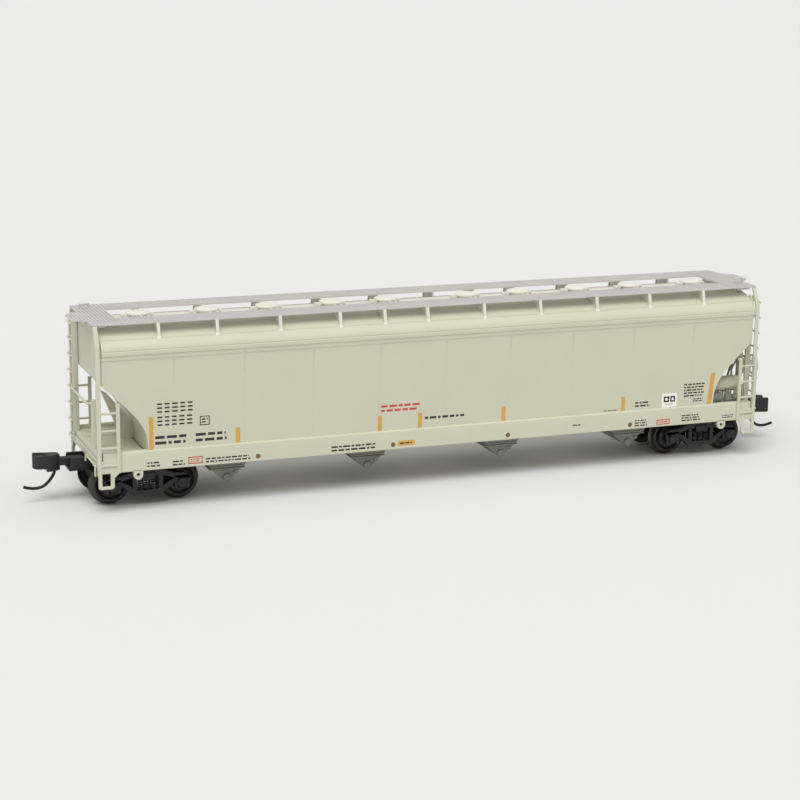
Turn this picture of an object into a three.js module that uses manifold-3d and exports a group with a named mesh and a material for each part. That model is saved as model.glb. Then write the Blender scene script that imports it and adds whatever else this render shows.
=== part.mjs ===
// Four-bay covered hopper car for 9 mm gauge track, 1:160.
// Millimetres. +X runs along the car towards the brake end, +Z is up, and z = 0 is the
// underside of the wheel flanges. The two ends are the same turned half a turn about Z,
// apart from the brake gear, which only the +X end has.

import * as THREE from "three";
import { mergeVertices } from "three/addons/utils/BufferGeometryUtils.js";
import Module from "manifold-3d";

const wasm = await Module();
wasm.setup();

// ---- driving dimensions -------------------------------------------------------------
const FLANGE_DEPTH = 0.55;
const WHEEL_R = 2.85;
const AXLE_Z = FLANGE_DEPTH + WHEEL_R;
const TRUCK_X = 49.4;
const WHEELBASE = 11.1;

const WALL_X = 57; // outer face of the upright end walls
const END_X = 58; // outer face of the corner posts
const SHEET_Y = 9.6; // side sheets
const SILL_Y = 9.9; // side sills, top chords and posts: the full half width
const SKIN = 0.7;
const SILL_Z = [6.6, 9.8];
const CHORD_Z = [24.9, 25.9];
const SHOULDER = { y: 3, z: 28.7 }; // where the curved shoulders meet the flat crown
const ROOF_Z = 28.95;
const SHELL_BOTTOM = 8;

const BOARD = { y0: 3.9, y1: 8.2, top: 29.85, thick: 0.3 };
const BRACKET_X = [-47.7, -37.4, -27.5, -17.1, -7, 3, 10.4, 18, 28, 38.3, 47.7];
const HATCH_X = [-48.9, -37.7, -27.6, -16.7, -7.15, 7.15, 16.7, 27.6, 37.7, 49.8];
const OUTLET_X = [12, 36];
const TOW_LUG_X = 51.6;

const DECK_Z = [7.4, 9.3];
const DECK_END = 57.9;
const PIN_R = 0.95;
const COUPLER_Z = 6.55;
const PIVOT_X = 57.2;
const COUPLER_FACE_X = 66;
const KNUCKLE_X = 64.5;

const LADDER_STEP = 2.67;
const END_LADDER_Y = [7.1, 9.9];
const SIDE_LADDER_X = [54.4, 58];
const GRAB_R = 0.22;
const ROUND = 12;
const WHEEL_SIDES = 16;
const HATCH_SIDES = 12;

// ---- materials ----------------------------------------------------------------------
const paint = (color, roughness, metalness = 0) => ({ color, roughness, metalness });
const BODY_GREY = paint(0xc5c6b4, 0.55);
const BOARD_GREY = paint(0xc9c8c2, 0.5);
const OUTLET_GREY = paint(0x8d8f8a, 0.5);
const BLACK = paint(0x1c1c1e, 0.5);
const DARK_STEEL = paint(0x3a3a3c, 0.35, 0.8);
const STEEL = paint(0x8a8a8c, 0.35, 0.9);

const group = new THREE.Group();

// ---- shape helpers ------------------------------------------------------------------
function box(x, y, z) {
  const geometry = new THREE.BoxGeometry(x[1] - x[0], y[1] - y[0], z[1] - z[0]);
  return geometry.translate((x[0] + x[1]) / 2, (y[0] + y[1]) / 2, (z[0] + z[1]) / 2);
}

function extrude(points, depth) {
  const shape = new THREE.Shape(points.map(([u, v]) => new THREE.Vector2(u, v)));
  return new THREE.ExtrudeGeometry(shape, { depth, bevelEnabled: false });
}

// Outline in X and Z, swept along Y from y0 to y1.
function plateXZ(points, y0, y1) {
  return extrude(points, y1 - y0).rotateX(Math.PI / 2).translate(0, y1, 0);
}

// Outline in Y and Z, swept along X from x0 to x1.
function plateYZ(points, x0, x1) {
  const geometry = extrude(points, x1 - x0);
  geometry.applyMatrix4(new THREE.Matrix4().makeBasis(
    new THREE.Vector3(0, 1, 0), new THREE.Vector3(0, 0, 1), new THREE.Vector3(1, 0, 0)));
  return geometry.translate(x0, 0, 0);
}

// Outline in X and Y, swept along Z from z0 to z1.
function plateXY(points, z0, z1) {
  return extrude(points, z1 - z0).translate(0, 0, z0);
}

// A round bar between two points.
function bar(from, to, radius, sides = 8) {
  const a = new THREE.Vector3(...from);
  const b = new THREE.Vector3(...to);
  const geometry = new THREE.CylinderGeometry(radius, radius, a.distanceTo(b), sides);
  const turn = new THREE.Quaternion().setFromUnitVectors(
    new THREE.Vector3(0, 1, 0), b.clone().sub(a).normalize());
  geometry.applyQuaternion(turn);
  return geometry.translate(...a.add(b).multiplyScalar(0.5).toArray());
}

// A turned shape: profile points are [radius, height], height along +Z.
function turned(profile, sides = ROUND) {
  const points = profile.map(([r, h]) => new THREE.Vector2(r, h));
  return new THREE.LatheGeometry(points, sides).rotateX(Math.PI / 2);
}

function toSolid(geometry) {
  const bare = geometry.clone();
  bare.deleteAttribute("normal");
  bare.deleteAttribute("uv");
  const merged = mergeVertices(bare, 1e-5);
  return new wasm.Manifold(new wasm.Mesh({
    numProp: 3,
    vertProperties: new Float32Array(merged.attributes.position.array),
    triVerts: new Uint32Array(merged.index.array),
  }));
}

function toGeometry(solid) {
  const mesh = solid.getMesh();
  const geometry = new THREE.BufferGeometry();
  geometry.setAttribute("position", new THREE.BufferAttribute(mesh.vertProperties, mesh.numProp));
  geometry.setIndex(new THREE.BufferAttribute(mesh.triVerts, 1));
  const flat = geometry.toNonIndexed();
  flat.computeVertexNormals();
  return flat;
}

function join(...geometries) {
  return toGeometry(geometries.map(toSolid).reduce((whole, piece) => whole.add(piece)));
}

function cut(geometry, ...tools) {
  return toGeometry(tools.map(toSolid).reduce((whole, tool) => whole.subtract(tool), toSolid(geometry)));
}

function common(a, b) {
  return toGeometry(toSolid(a).intersect(toSolid(b)));
}

// The same shape on the other side of the car's centreline.
function mirrorY(geometry) {
  const flat = geometry.index ? geometry.toNonIndexed() : geometry.clone();
  const p = flat.attributes.position;
  for (let i = 0; i < p.count; i += 3) {
    const [x1, y1, z1] = [p.getX(i + 1), p.getY(i + 1), p.getZ(i + 1)];
    p.setXYZ(i, p.getX(i), -p.getY(i), p.getZ(i));
    p.setXYZ(i + 1, p.getX(i + 2), -p.getY(i + 2), p.getZ(i + 2));
    p.setXYZ(i + 2, x1, -y1, z1);
  }
  flat.computeVertexNormals();
  return flat;
}

function add(name, geometry, material, parent = group) {
  const mesh = new THREE.Mesh(geometry, new THREE.MeshStandardMaterial(material));
  mesh.name = name;
  parent.add(mesh);
  return mesh;
}

// The two ends: end "b" is the brake end at +X, end "a" is the same half turned about Z.
const ENDS = ["a", "b"].map((id) => {
  const holder = new THREE.Group();
  holder.rotation.z = id === "b" ? 0 : Math.PI;
  group.add(holder);
  return { id, holder };
});

// ---- body ---------------------------------------------------------------------------
// Half of the body's section, from the bottom edge up over the shoulder to the roof,
// drawn inset by a given wall thickness.
function bodySection(inset, bottom) {
  const shoulderSteps = 9;
  const half = [[SHEET_Y - inset, bottom]];
  if (inset === 0) {
    half.push([SHEET_Y, CHORD_Z[0]], [SILL_Y, CHORD_Z[0] + 0.15]);
  }
  const edge = inset === 0 ? SILL_Y : SHEET_Y - inset;
  for (let i = 0; i <= shoulderSteps; i += 1) {
    const angle = (i / shoulderSteps) * Math.PI / 2;
    half.push([
      SHOULDER.y - inset + (edge - SHOULDER.y + inset) * Math.cos(angle),
      CHORD_Z[1] + (SHOULDER.z - inset - CHORD_Z[1]) * Math.sin(angle),
    ]);
  }
  half.push([0, ROOF_Z - inset]);
  const mirrored = half.slice(0, -1).reverse().map(([y, z]) => [-y, z]);
  return [...half, ...mirrored];
}

// The body's outline from the side: upright end walls, then end sheets that curve
// inwards under them down to the floor.
function bodyProfile(inset, bottom) {
  const curve = new THREE.CubicBezierCurve(
    new THREE.Vector2(WALL_X - inset, 20.3 + inset * 0.4),
    new THREE.Vector2(52.4 - inset, 15.8 + inset * 0.4),
    new THREE.Vector2(49.9 - inset, 14.2),
    new THREE.Vector2(49.9 - inset, 10));
  const half = [[WALL_X - inset, ROOF_Z + 1], ...curve.getPoints(8).map((p) => [p.x, p.y])];
  half.push([49.9 - inset, bottom]);
  return [...half, ...half.slice().reverse().map(([x, z]) => [-x, z])];
}

function sillSection(side) {
  const lip = 0.35;
  const points = [
    [SHEET_Y - SKIN, SILL_Z[0]], [SILL_Y, SILL_Z[0]], [SILL_Y, SILL_Z[1] - lip],
    [SILL_Y - 0.1, SILL_Z[1] - 0.1], [SHEET_Y - 0.05, SILL_Z[1]], [SHEET_Y - SKIN, SILL_Z[1]],
  ];
  return side > 0 ? points : points.map(([y, z]) => [-y, z]).reverse();
}

function bodyShell() {
  const outer = common(
    plateYZ(bodySection(0, SHELL_BOTTOM), -WALL_X, WALL_X),
    plateXZ(bodyProfile(0, SHELL_BOTTOM), -SILL_Y, SILL_Y));
  const inner = common(
    plateYZ(bodySection(SKIN, SHELL_BOTTOM - 1), -WALL_X, WALL_X),
    plateXZ(bodyProfile(SKIN, SHELL_BOTTOM - 1), -SILL_Y, SILL_Y));
  const sillEnd = END_X - 0.9;
  const sills = [-1, 1].map((side) => plateYZ(sillSection(side), -sillEnd, sillEnd));
  const lugs = [];
  const lugHoles = [];
  for (const x of [-TOW_LUG_X, TOW_LUG_X]) {
    for (const side of [-1, 1]) {
      const y = side * (SILL_Y - 0.3);
      lugs.push(box([x - 0.7, x + 0.7], [y - 0.3, y + 0.3], [5.4, SILL_Z[0] + 0.2]));
      lugHoles.push(bar([x, y - 1, 6], [x, y + 1, 6], 0.3, 8));
    }
  }
  return cut(join(outer, ...sills, ...lugs), inner, ...lugHoles);
}

// A four-sided funnel between two rectangles, each [half length, half width, z].
function funnel(x, top, bottom) {
  const corners = [];
  for (const [hx, hy, z] of [bottom, top]) {
    corners.push([x - hx, -hy, z], [x + hx, -hy, z], [x + hx, hy, z], [x - hx, hy, z]);
  }
  const geometry = new THREE.BufferGeometry();
  geometry.setAttribute("position", new THREE.Float32BufferAttribute(corners.flat(), 3));
  const faces = [[0, 2, 1], [0, 3, 2], [4, 5, 6], [4, 6, 7]];
  for (let i = 0; i < 4; i += 1) {
    const j = (i + 1) % 4;
    faces.push([i, j, j + 4], [i, j + 4, i + 4]);
  }
  geometry.setIndex(faces.flat());
  const flat = geometry.toNonIndexed();
  flat.computeVertexNormals();
  return flat;
}

const FUNNEL_NECK_Z = 6.7;
const outletPlaces = [-OUTLET_X[1], -OUTLET_X[0], OUTLET_X[0], OUTLET_X[1]];

function hopperFloor() {
  const clearance = 0.1;
  const halfX = 49.9 - SKIN - clearance;
  const halfY = SHEET_Y - SKIN - clearance;
  const plate = box([-halfX, halfX], [-halfY, halfY], [SHELL_BOTTOM, SHELL_BOTTOM + 0.7]);
  const necks = outletPlaces.map((x) =>
    funnel(x, [6.5, 8.4, SHELL_BOTTOM + 0.1], [4.2, 6, FUNNEL_NECK_Z]));
  return join(plate, ...necks);
}

add("body_shell", bodyShell(), BODY_GREY);
add("hopper_floor", hopperFloor(), BODY_GREY);
add("steel_weight", box([-42, 42], [-7.5, 7.5], [SHELL_BOTTOM + 0.7, SHELL_BOTTOM + 2.1]), STEEL);

// ---- discharge outlets --------------------------------------------------------------
function outlet() {
  const neck = funnel(0, [4.1, 5.9, FUNNEL_NECK_Z], [2.9, 5.2, 4.9]);
  const flange = box([-2.95, 2.95], [-5.4, 5.4], [4.4, 4.95]);
  const trough = plateXZ([[-2.6, 4.5], [-0.6, 2.6], [0.6, 2.6], [2.6, 4.5]], -5, 5);
  const tube = bar([0, -5.4, 2.95], [0, 5.4, 2.95], 0.65, ROUND);
  return join(neck, flange, trough, tube);
}

outletPlaces.forEach((x, i) => {
  add(`outlet_gate_${i + 1}`, outlet(), OUTLET_GREY).position.x = x;
});

// ---- roof ---------------------------------------------------------------------------
const BOARD_END = 53.4;
const boardZ = [BOARD.top - BOARD.thick, BOARD.top];

// The height of the shoulder or roof at a given half width.
function roofHeight(y) {
  if (y <= SHOULDER.y) {
    return ROOF_Z + (SHOULDER.z - ROOF_Z) * y / SHOULDER.y;
  }
  const across = (y - SHOULDER.y) / (SILL_Y - SHOULDER.y);
  return CHORD_Z[1] + (SHOULDER.z - CHORD_Z[1]) * Math.sqrt(1 - across * across);
}

function runningBoard() {
  const width = 0.6;
  const gap = 0.08;
  const backY = BOARD.y1 - 1.6;
  const footY = BOARD.y1 + 0.4;
  const steps = 5;
  const sole = [];
  for (let i = 0; i <= steps; i += 1) {
    const y = backY + (footY - backY) * i / steps;
    sole.push([y, roofHeight(y) + gap]);
  }
  const outline = [
    ...sole,
    [footY + 0.2, roofHeight(footY) + gap],
    [footY + 0.2, roofHeight(footY) + 0.5],
    [BOARD.y1, boardZ[0] + 0.1],
    [backY, boardZ[0] + 0.1],
  ];
  const brackets = BRACKET_X.map((x) => plateYZ(outline, x - width / 2, x + width / 2));
  return join(box([-BOARD_END, BOARD_END], [BOARD.y0, BOARD.y1], boardZ), ...brackets);
}

add("running_board_left", runningBoard(), BOARD_GREY);
add("running_board_right", runningBoard(), BOARD_GREY).rotation.z = Math.PI;

function crossover() {
  const grabY = -4.8;
  const outline = [
    [BOARD_END, -BOARD.y1], [END_X, -BOARD.y1], [END_X, -3], [60.2, -1.2], [60.2, 3],
    [END_X, 4.7], [END_X, BOARD.y1], [BOARD_END, BOARD.y1],
  ];
  const grab = [
    bar([55.6, grabY, BOARD.top - 0.1], [55.6, grabY, BOARD.top + 0.9], GRAB_R, 6),
    bar([57.3, grabY, BOARD.top - 0.1], [57.3, grabY, BOARD.top + 0.9], GRAB_R, 6),
    box([55.4, 57.5], [grabY - GRAB_R, grabY + GRAB_R], [BOARD.top + 0.6, BOARD.top + 0.95]),
  ];
  const struts = [-6.2, 6.2].map((y) => {
    const foot = roofHeight(Math.abs(y) - 0.3) + 0.08;
    return box([56.2, 56.6], [y - 0.3, y + 0.3], [foot, boardZ[0] + 0.1]);
  });
  return join(plateXY(outline, ...boardZ), ...grab, ...struts);
}

// A round loading hatch with its hinge lug and latch.
function hatch() {
  const profile = [[0, 0], [1.5, 0], [1.5, 0.35], [1.9, 0.45], [1.95, 0.7], [1.7, 0.92], [0, 1]];
  const base = ROOF_Z + 0.03;
  const rim = turned(profile, HATCH_SIDES).translate(0, 0, base);
  const hinge = box([-2.9, -1.4], [-0.55, 0.55], [base, base + 0.65]);
  const latch = box([1.4, 2.6], [-0.35, 0.35], [base, base + 0.55]);
  return join(rim, hinge, latch);
}

HATCH_X.forEach((x, i) => {
  add(`hatch_cover_${i + 1}`, hatch(), BODY_GREY).position.x = x;
});

// ---- ladders, posts and steps -------------------------------------------------------

// Full-height ladder on the end of the car: an inner stile, and rungs that reach out
// past it across the face of the corner post.
function endLadder() {
  const [y0, y1] = END_LADDER_Y;
  const stile = 0.55;
  const front = END_X + 0.1;
  const deckClearance = 0.02;
  const top = 28;
  const parts = [
    box([WALL_X + 0.05, front], [-y0 - stile, -y0], [DECK_Z[1] + deckClearance, top]),
    box([DECK_END + deckClearance, front], [-y0 - stile, -y0], [DECK_Z[0], DECK_Z[1] + 0.1]),
  ];
  for (let i = 0; i < 8; i += 1) {
    const z = 8.45 + LADDER_STEP * i;
    parts.push(box([END_X + 0.03, END_X + 0.5], [-y1, -y0 - 0.05], [z - 0.2, z + 0.2]));
  }
  return join(...parts);
}

// Corner post that leans in over the shoulder, the short side ladder and the stirrup.
function sidePost() {
  const [x0, x1] = SIDE_LADDER_X;
  const outer = SILL_Y;
  const thick = 0.6;
  const stile = 0.7;
  const post = plateYZ([
    [outer - thick, 6.2], [outer, 6.2], [outer, CHORD_Z[1]], [BOARD.y1 + 0.45, boardZ[0] - 0.02],
    [BOARD.y1 - 0.35, boardZ[0] - 0.02], [outer - thick, CHORD_Z[1] - 0.3],
  ], x1 - stile, x1);
  const innerStile = box([x0, x0 + stile], [outer, outer + 0.35], [SILL_Z[0], 17.6]);
  const rungs = [0, 1, 2, 3].map((i) => {
    const z = 7.9 + 2.76 * i;
    return box([x0 + 0.1, x1 - 0.1], [outer + 0.05, outer + 0.3], [z - 0.2, z + 0.2]);
  });
  const outerStile = box([x1 - stile, x1], [outer - 0.1, outer + 0.35], [SILL_Z[0], 17.6]);
  const stepWidth = 2.6;
  const stepZ = 4.1;
  const step = [
    box([x1 - stepWidth, x1 - stepWidth + stile], [outer + 0.02, outer + 0.35], [stepZ, SILL_Z[0] + 1]),
    box([x1 - stile, x1], [outer + 0.02, outer + 0.35], [stepZ, SILL_Z[0] + 1]),
    box([x1 - stepWidth, x1], [outer - 0.5, outer + 0.35], [stepZ, stepZ + 0.45]),
  ];
  return join(post, outerStile, innerStile, ...rungs, ...step);
}

for (const { id, holder } of ENDS) {
  add(`crossover_${id}`, crossover(), BOARD_GREY, holder);
  add(`end_ladder_${id}`, endLadder(), BODY_GREY, holder);
  add(`side_ladder_${id}_left`, sidePost(), BODY_GREY, holder);
  add(`side_ladder_${id}_right`, mirrorY(sidePost()), BODY_GREY, holder);
}

// ---- underframe ends ----------------------------------------------------------------
function underframe() {
  const inner = SHEET_Y - SKIN - 0.05;
  const plate = box([45, DECK_END], [-inner, inner], [DECK_Z[0], SHELL_BOTTOM - 0.02]);
  const deck = box([50.2, DECK_END], [-inner, inner], [SHELL_BOTTOM - 0.1, DECK_Z[1]]);
  const bolster = box([TRUCK_X - 1.5, TRUCK_X + 1.5], [-7.6, 7.6], [6.3, DECK_Z[0] + 0.1]);
  const webOutline = [
    [50.3, DECK_Z[1] - 0.1], [51.8, DECK_Z[1] - 0.1], [55.2, 17.6], [54.2, 17], [51, 13.2], [50.3, 12],
  ];
  const web = plateXZ(webOutline, -0.4, 0.4);
  const pinHole = bar([TRUCK_X, 0, 6], [TRUCK_X, 0, 7.7], PIN_R + 0.03, ROUND);
  const screwHole = bar([PIVOT_X, 0, 7], [PIVOT_X, 0, 8.8], 0.5, ROUND);
  return cut(join(plate, deck, bolster, web), pinHole, screwHole);
}

// ---- trucks -------------------------------------------------------------------------
const FRAME_Y = [5.85, 6.95];
const JOURNAL_R = 0.4;

// Everything in a truck is drawn about its own centre, with the bolster across it.
function truckSideFrame(side) {
  const half = [
    [0, 1.7], [2.3, 1.9], [3.4, 3], [4.3, 3.1], [4.5, 2.3], [6.6, 2.3], [6.9, 3.1],
    [6.9, 4.2], [6.1, 4.9], [4.3, 5], [2.6, 5.7], [0, 5.8],
  ];
  const outline = [...half, ...half.slice(1, -1).reverse().map(([x, z]) => [-x, z])];
  const plate = side > 0 ? plateXZ(outline, ...FRAME_Y) : plateXZ(outline, -FRAME_Y[1], -FRAME_Y[0]);
  const middle = side * (FRAME_Y[0] + FRAME_Y[1]) / 2;
  const windowOutline = [[1.3, 3.1], [2.6, 3.9], [2.6, 4.4], [1.3, 4.9]];
  const windows = [
    plateXZ(windowOutline, middle - 1, middle + 1),
    plateXZ(windowOutline.map(([x, z]) => [-x, z]).reverse(), middle - 1, middle + 1),
  ];
  const caps = [-1, 1].map((end) => bar(
    [end * WHEELBASE / 2, side * (FRAME_Y[1] - 0.1), AXLE_Z],
    [end * WHEELBASE / 2, side * (FRAME_Y[1] + 0.4), AXLE_Z], 0.8, 8));
  const bores = [-1, 1].map((end) => bar(
    [end * WHEELBASE / 2, side * (FRAME_Y[0] - 0.1), AXLE_Z],
    [end * WHEELBASE / 2, side * (FRAME_Y[0] + 0.85), AXLE_Z], JOURNAL_R + 0.07, 12));
  return cut(join(plate, ...caps), ...windows, ...bores);
}

function truckFrame() {
  const bolster = box([-1.4, 1.4], [-FRAME_Y[0] - 0.3, FRAME_Y[0] + 0.3], [4.2, 5.6]);
  const bowl = turned([[0, 5.5], [1.9, 5.5], [1.9, 6.15], [0, 6.15]]);
  const pinHole = bar([0, 0, 4], [0, 0, 6.5], PIN_R + 0.12, ROUND);
  return cut(join(truckSideFrame(-1), truckSideFrame(1), bolster, bowl), pinHole);
}

function truckPin() {
  const profile = [[0, 3.3], [1.5, 3.3], [1.75, 3.55], [1.75, 3.95], [PIN_R, 3.95], [PIN_R, 7.6], [0, 7.6]];
  return turned(profile);
}

// The axle runs in both wheels and ends in a plain journal in each side frame.
const WHEEL_Y = [3.85, 5.35];
const AXLE_R = 0.6;

function axle() {
  const tip = FRAME_Y[0] + 0.75;
  const step = WHEEL_Y[1] + 0.15;
  const half = [[AXLE_R, step], [JOURNAL_R, step + 0.05], [JOURNAL_R, tip]];
  const profile = [
    [0, -tip], ...half.slice().reverse().map(([r, h]) => [r, -h]), ...half, [0, tip],
  ];
  return turned(profile, 12).rotateX(Math.PI / 2).translate(0, 0, AXLE_Z);
}

function wheel(side) {
  const [back, face] = WHEEL_Y;
  const flange = WHEEL_R + FLANGE_DEPTH;
  const bore = AXLE_R + 0.02;
  const profile = [
    [bore, back - 0.15], [1.1, back - 0.15], [1.3, back], [flange, back], [flange, back + 0.3],
    [WHEEL_R, back + 0.5], [WHEEL_R, face], [2.3, face], [1.25, face - 0.4], [1.1, face], [bore, face],
    [bore, back - 0.15],
  ];
  const geometry = turned(profile, WHEEL_SIDES).rotateX(Math.PI / 2);
  const placed = side > 0 ? geometry.rotateZ(Math.PI) : geometry;
  return placed.translate(0, 0, AXLE_Z);
}

// ---- couplers -----------------------------------------------------------------------
const BOX_X = [55.2, 60.8];
const BOX_HALF = 1.95;
const BOX_Z = [5.25, DECK_Z[0]];
const SCREW_R = 0.42;
const SCREW_HEAD_R = 0.9;
const POST_R = 0.8;

function couplerBox() {
  const outer = box(BOX_X, [-BOX_HALF, BOX_HALF], BOX_Z);
  const cavity = box([BOX_X[0] + 0.35, BOX_X[1] + 1], [-1.62, 1.62], [BOX_Z[0] + 0.45, BOX_Z[1] + 1]);
  const post = bar([PIVOT_X, 0, BOX_Z[0] + 0.2], [PIVOT_X, 0, BOX_Z[1]], POST_R, ROUND);
  const hole = bar([PIVOT_X, 0, BOX_Z[0] - 1], [PIVOT_X, 0, BOX_Z[1] + 1], SCREW_R + 0.06, ROUND);
  return cut(join(cut(outer, cavity), post), hole);
}

function couplerScrew() {
  const headBottom = BOX_Z[0] - 0.5;
  const top = 8.6;
  return turned([
    [0, headBottom],
    [0.7, headBottom],
    [SCREW_HEAD_R, headBottom + 0.15],
    [SCREW_HEAD_R, BOX_Z[0]],
    [SCREW_R, BOX_Z[0]],
    [SCREW_R, top],
    [0, top],
  ]);
}

// The head is a guard arm and a hooked knuckle around an open throat.
function coupler() {
  const shankZ = [COUPLER_Z - 0.6, COUPLER_Z + 0.6];
  const ring = bar([PIVOT_X, 0, shankZ[0]], [PIVOT_X, 0, shankZ[1]], 1.25, ROUND);
  const hole = bar([PIVOT_X, 0, shankZ[0] - 1], [PIVOT_X, 0, shankZ[1] + 1], POST_R + 0.1, ROUND);
  const shank = box([PIVOT_X + 0.8, 62.4], [-0.7, 0.7], shankZ);
  const headZ = [COUPLER_Z - 1.3, COUPLER_Z + 1.3];
  const body = plateXY([
    [62, -0.9],
    [63, -1.15],
    [64, -1.2],
    [65.8, -1.6],
    [COUPLER_FACE_X, -1.3],
    [64.6, -0.7],
    [64.1, 0.1],
    [64.6, 0.9],
    [64.8, 0.3],
    [65.5, 0.2],
    [COUPLER_FACE_X, 0.5],
    [COUPLER_FACE_X, 1.1],
    [65.3, 1.4],
    [63.6, 1.4],
    [62, 0.9],
  ], ...headZ);
  const underKnuckle = box([KNUCKLE_X, COUPLER_FACE_X + 1], [0.15, 2], [headZ[0] - 1, headZ[0] + 0.5]);
  return cut(join(ring, shank, body), hole, underKnuckle);
}

// A round wire that drops from the head and sweeps out in front of it.
function tripPin() {
  const path = new THREE.CatmullRomCurve3([
    new THREE.Vector3(62.9, 0, 5.2), new THREE.Vector3(63.2, 0, 4.3), new THREE.Vector3(64.1, 0, 3.1),
    new THREE.Vector3(65.5, 0, 2.45), new THREE.Vector3(67.9, 0, 2.75),
  ]);
  const section = new THREE.Shape().absarc(0, 0, 0.26, 0, Math.PI * 2);
  return new THREE.ExtrudeGeometry(section, { extrudePath: path, steps: 9, curveSegments: 3 });
}

for (const { id, holder } of ENDS) {
  add(`underframe_${id}`, underframe(), BODY_GREY, holder);
  add(`coupler_box_${id}`, couplerBox(), BLACK, holder);
  add(`coupler_screw_${id}`, couplerScrew(), DARK_STEEL, holder).position.x = PIVOT_X;
  add(`coupler_${id}`, coupler(), BLACK, holder);
  add(`trip_pin_${id}`, tripPin(), DARK_STEEL, holder);
  add(`truck_pin_${id}`, truckPin(), BLACK, holder).position.x = TRUCK_X;

  const truck = new THREE.Group();
  truck.position.x = TRUCK_X;
  holder.add(truck);
  add(`truck_frame_${id}`, truckFrame(), BLACK, truck);
  for (const [place, x] of [["outer", WHEELBASE / 2], ["inner", -WHEELBASE / 2]]) {
    add(`axle_${id}_${place}`, axle(), BLACK, truck).position.x = x;
    add(`wheel_${id}_${place}_left`, wheel(1), DARK_STEEL, truck).position.x = x;
    add(`wheel_${id}_${place}_right`, wheel(-1), DARK_STEEL, truck).position.x = x;
  }
}

// ---- brake gear, on the +X end ------------------------------------------------------
// A round-ended tank lying along X.
function lyingCylinder(x, y, z, radius, dome) {
  const [x0, x1] = x;
  const profile = [
    [0, x0],
    [radius * 0.7, x0],
    [radius, x0 + dome],
    [radius, x1 - dome],
    [radius * 0.7, x1],
    [0, x1],
  ];
  return turned(profile, ROUND).rotateY(Math.PI / 2).translate(0, y, z);
}

add("air_reservoir", join(
  lyingCylinder([51.2, 56.6], -6.4, 12.5, 1.3, 0.35),
  box([52.9, 53.4], [-7.8, -5], [11.2, 13.9]),
  box([54.6, 55.1], [-6.8, -6], [DECK_Z[1], 12]),
), BODY_GREY);
add("brake_cylinder", join(
  lyingCylinder([50.6, 52.6], -7.35, 10.3, 0.95, 0.2),
  box([51.2, 52], [-7.65, -7.05], [DECK_Z[1], 9.8]),
), OUTLET_GREY);
add("control_valve", join(
  box([53.2, 54.4], [-8.3, -7.1], [DECK_Z[1], 11.1]),
  bar([53.8, -7.7, 11], [53.8, -7.7, 11.6], 0.4, 8),
), OUTLET_GREY);

// The hand brake: an upright channel, a gear case on it, and the wheel on its shaft.
const BRAKE_WHEEL = { x: 60.1, y: -5.2, z: 15.2, r: 1.8 };
const CHANNEL_Z = [DECK_Z[1] + 0.02, 20.2];

function brakeCase() {
  const { x, y, z } = BRAKE_WHEEL;
  const caseEnd = WALL_X + 1.3;
  const channel = box([WALL_X + 0.02, WALL_X + 0.6], [y - 0.6, y + 0.6], CHANNEL_Z);
  const caseBox = box([WALL_X + 0.3, caseEnd], [y - 1, y + 1], [z - 1.3, z + 1.3]);
  const boss = bar([caseEnd - 0.1, y, z], [x - 0.8, y, z], 0.7, ROUND);
  return join(channel, caseBox, boss);
}

function brakeWheel() {
  const { x, y, z, r } = BRAKE_WHEEL;
  const rimWidth = 0.35;
  const rimHalf = 0.18;
  const rim = turned([
    [r - rimWidth, -rimHalf],
    [r, -rimHalf],
    [r, rimHalf],
    [r - rimWidth, rimHalf],
    [r - rimWidth, -rimHalf],
  ], 20).rotateY(Math.PI / 2).translate(x, y, z);
  const hub = bar([x - 0.8, y, z], [x + 0.2, y, z], 0.4, 10);
  const spokes = [0, 1, 2, 3, 4].map((i) => {
    const angle = (i / 5) * Math.PI * 2;
    const reach = r - 0.15;
    return bar([x, y, z], [x, y + reach * Math.cos(angle), z + reach * Math.sin(angle)], 0.13, 6);
  });
  return join(rim, hub, ...spokes);
}

add("brake_gear_case", brakeCase(), BODY_GREY);
add("brake_wheel", brakeWheel(), BODY_GREY);

export default group;
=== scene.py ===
"""Looks for a 1:160 covered hopper car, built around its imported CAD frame. Lengths here are in mm until they
reach a mesh, where MM turns them into metres. The +X end is end "b", and end "a" is the same turned half
a turn."""

import math
import random

import bmesh
import bpy
from mathutils import Matrix, Vector


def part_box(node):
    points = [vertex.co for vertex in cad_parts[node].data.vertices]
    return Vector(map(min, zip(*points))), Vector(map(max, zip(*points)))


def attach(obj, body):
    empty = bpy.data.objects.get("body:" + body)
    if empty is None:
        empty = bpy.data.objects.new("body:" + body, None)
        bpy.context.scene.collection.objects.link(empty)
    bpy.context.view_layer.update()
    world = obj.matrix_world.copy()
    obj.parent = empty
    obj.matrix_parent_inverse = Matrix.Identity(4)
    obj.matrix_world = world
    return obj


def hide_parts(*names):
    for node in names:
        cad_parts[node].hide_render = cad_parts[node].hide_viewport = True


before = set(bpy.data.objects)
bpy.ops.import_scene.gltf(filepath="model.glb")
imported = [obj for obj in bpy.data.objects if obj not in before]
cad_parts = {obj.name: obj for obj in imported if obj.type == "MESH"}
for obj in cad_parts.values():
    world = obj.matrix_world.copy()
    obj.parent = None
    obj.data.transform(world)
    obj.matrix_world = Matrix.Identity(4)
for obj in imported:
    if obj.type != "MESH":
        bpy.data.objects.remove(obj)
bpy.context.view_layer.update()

MM = 0.001
scene = bpy.context.scene


# ---- camera ----
CAMERA_PLACE = (-121.47, -303.71, 90.72)
CAMERA_TURN = (21.081, 13.556, 0.790)  # yaw, pitch down and roll in degrees
LENS = 89.946


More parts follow.
